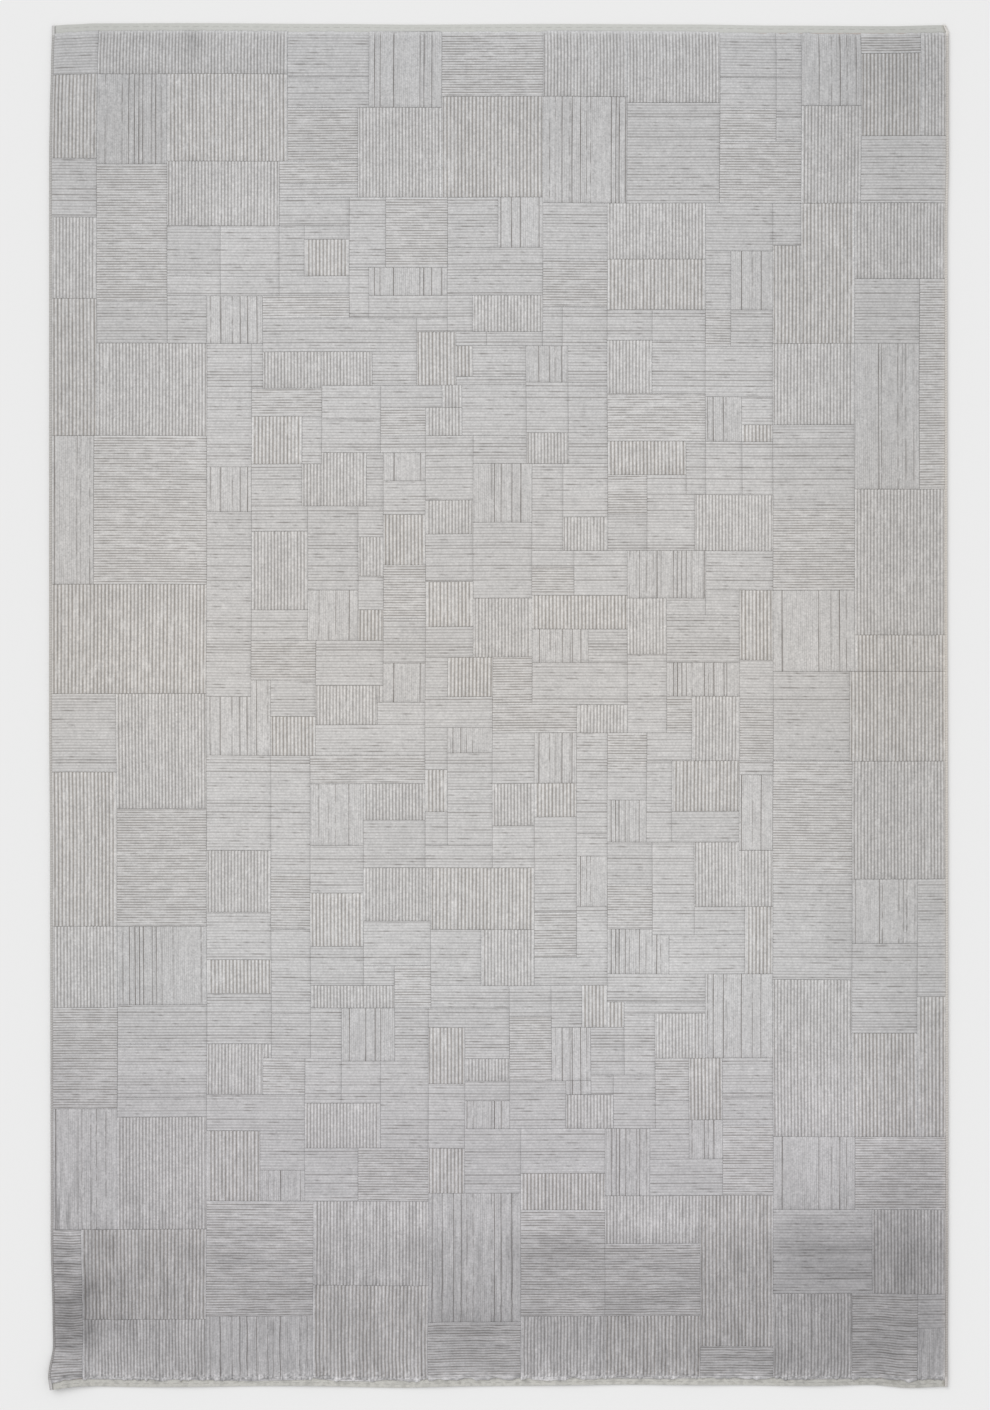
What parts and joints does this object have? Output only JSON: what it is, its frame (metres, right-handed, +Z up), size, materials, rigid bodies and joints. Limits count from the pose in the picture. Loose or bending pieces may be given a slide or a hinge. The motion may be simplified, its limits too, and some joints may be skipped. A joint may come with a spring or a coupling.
{
  "type": "area rug",
  "caption": "Flat rectangular area rug with a patchwork of ribbed and finely lined pile, flat-woven hemmed ends and overcast long edges.",
  "frame": {"origin": "on the floor under the middle of the rug", "axes": "+Y along the rug towards its head end, +X across it to the right seen from above, +Z up out of the pile"},
  "size_m": [1.6, 2.43, 0.008],
  "materials": {
    "latex_back": "matte latex coat on a coarse weave",
    "ground_weave": "coarse plain weave",
    "groove_yarn": "low dense taupe pile",
    "fine_rib_yarn": "soft pile with fine ribs along the rug",
    "coarse_rib_yarn": "soft pile with coarser, browner ribs along the rug",
    "cross_rib_yarn": "soft pile ribbed across the rug",
    "cross_line_yarn": "smooth pile with thin lines across the rug",
    "long_line_yarn": "smooth pile with thin lines along the rug",
    "head_band_weave": "flat-woven band",
    "foot_band_weave": "flat-woven band",
    "hem_weave": "flat-woven, turned under",
    "stitch_yarn": "twisted polyester thread",
    "edge_cord": "twisted jute cord",
    "overcast_yarn": "close-wound matte yarn"
  },
  "bodies": {
    "root": {"back_coating": "latex_back", "ground_cloth": "ground_weave", "groove_pile": "groove_yarn", "fine_rib_pile": "fine_rib_yarn", "coarse_rib_pile": "coarse_rib_yarn", "crosswise_rib_pile": "cross_rib_yarn", "crosswise_line_pile": "cross_line_yarn", "lengthwise_line_pile": "long_line_yarn", "head_end_band": "head_band_weave", "foot_end_band": "foot_band_weave", "head_hem_fold": "hem_weave", "foot_hem_fold": "hem_weave", "head_hem_stitches": "stitch_yarn", "foot_hem_stitches": "stitch_yarn", "left_edge_cord": "edge_cord", "right_edge_cord": "edge_cord", "left_overcasting": "overcast_yarn", "right_overcasting": "overcast_yarn"}
  },
  "joints": []
}
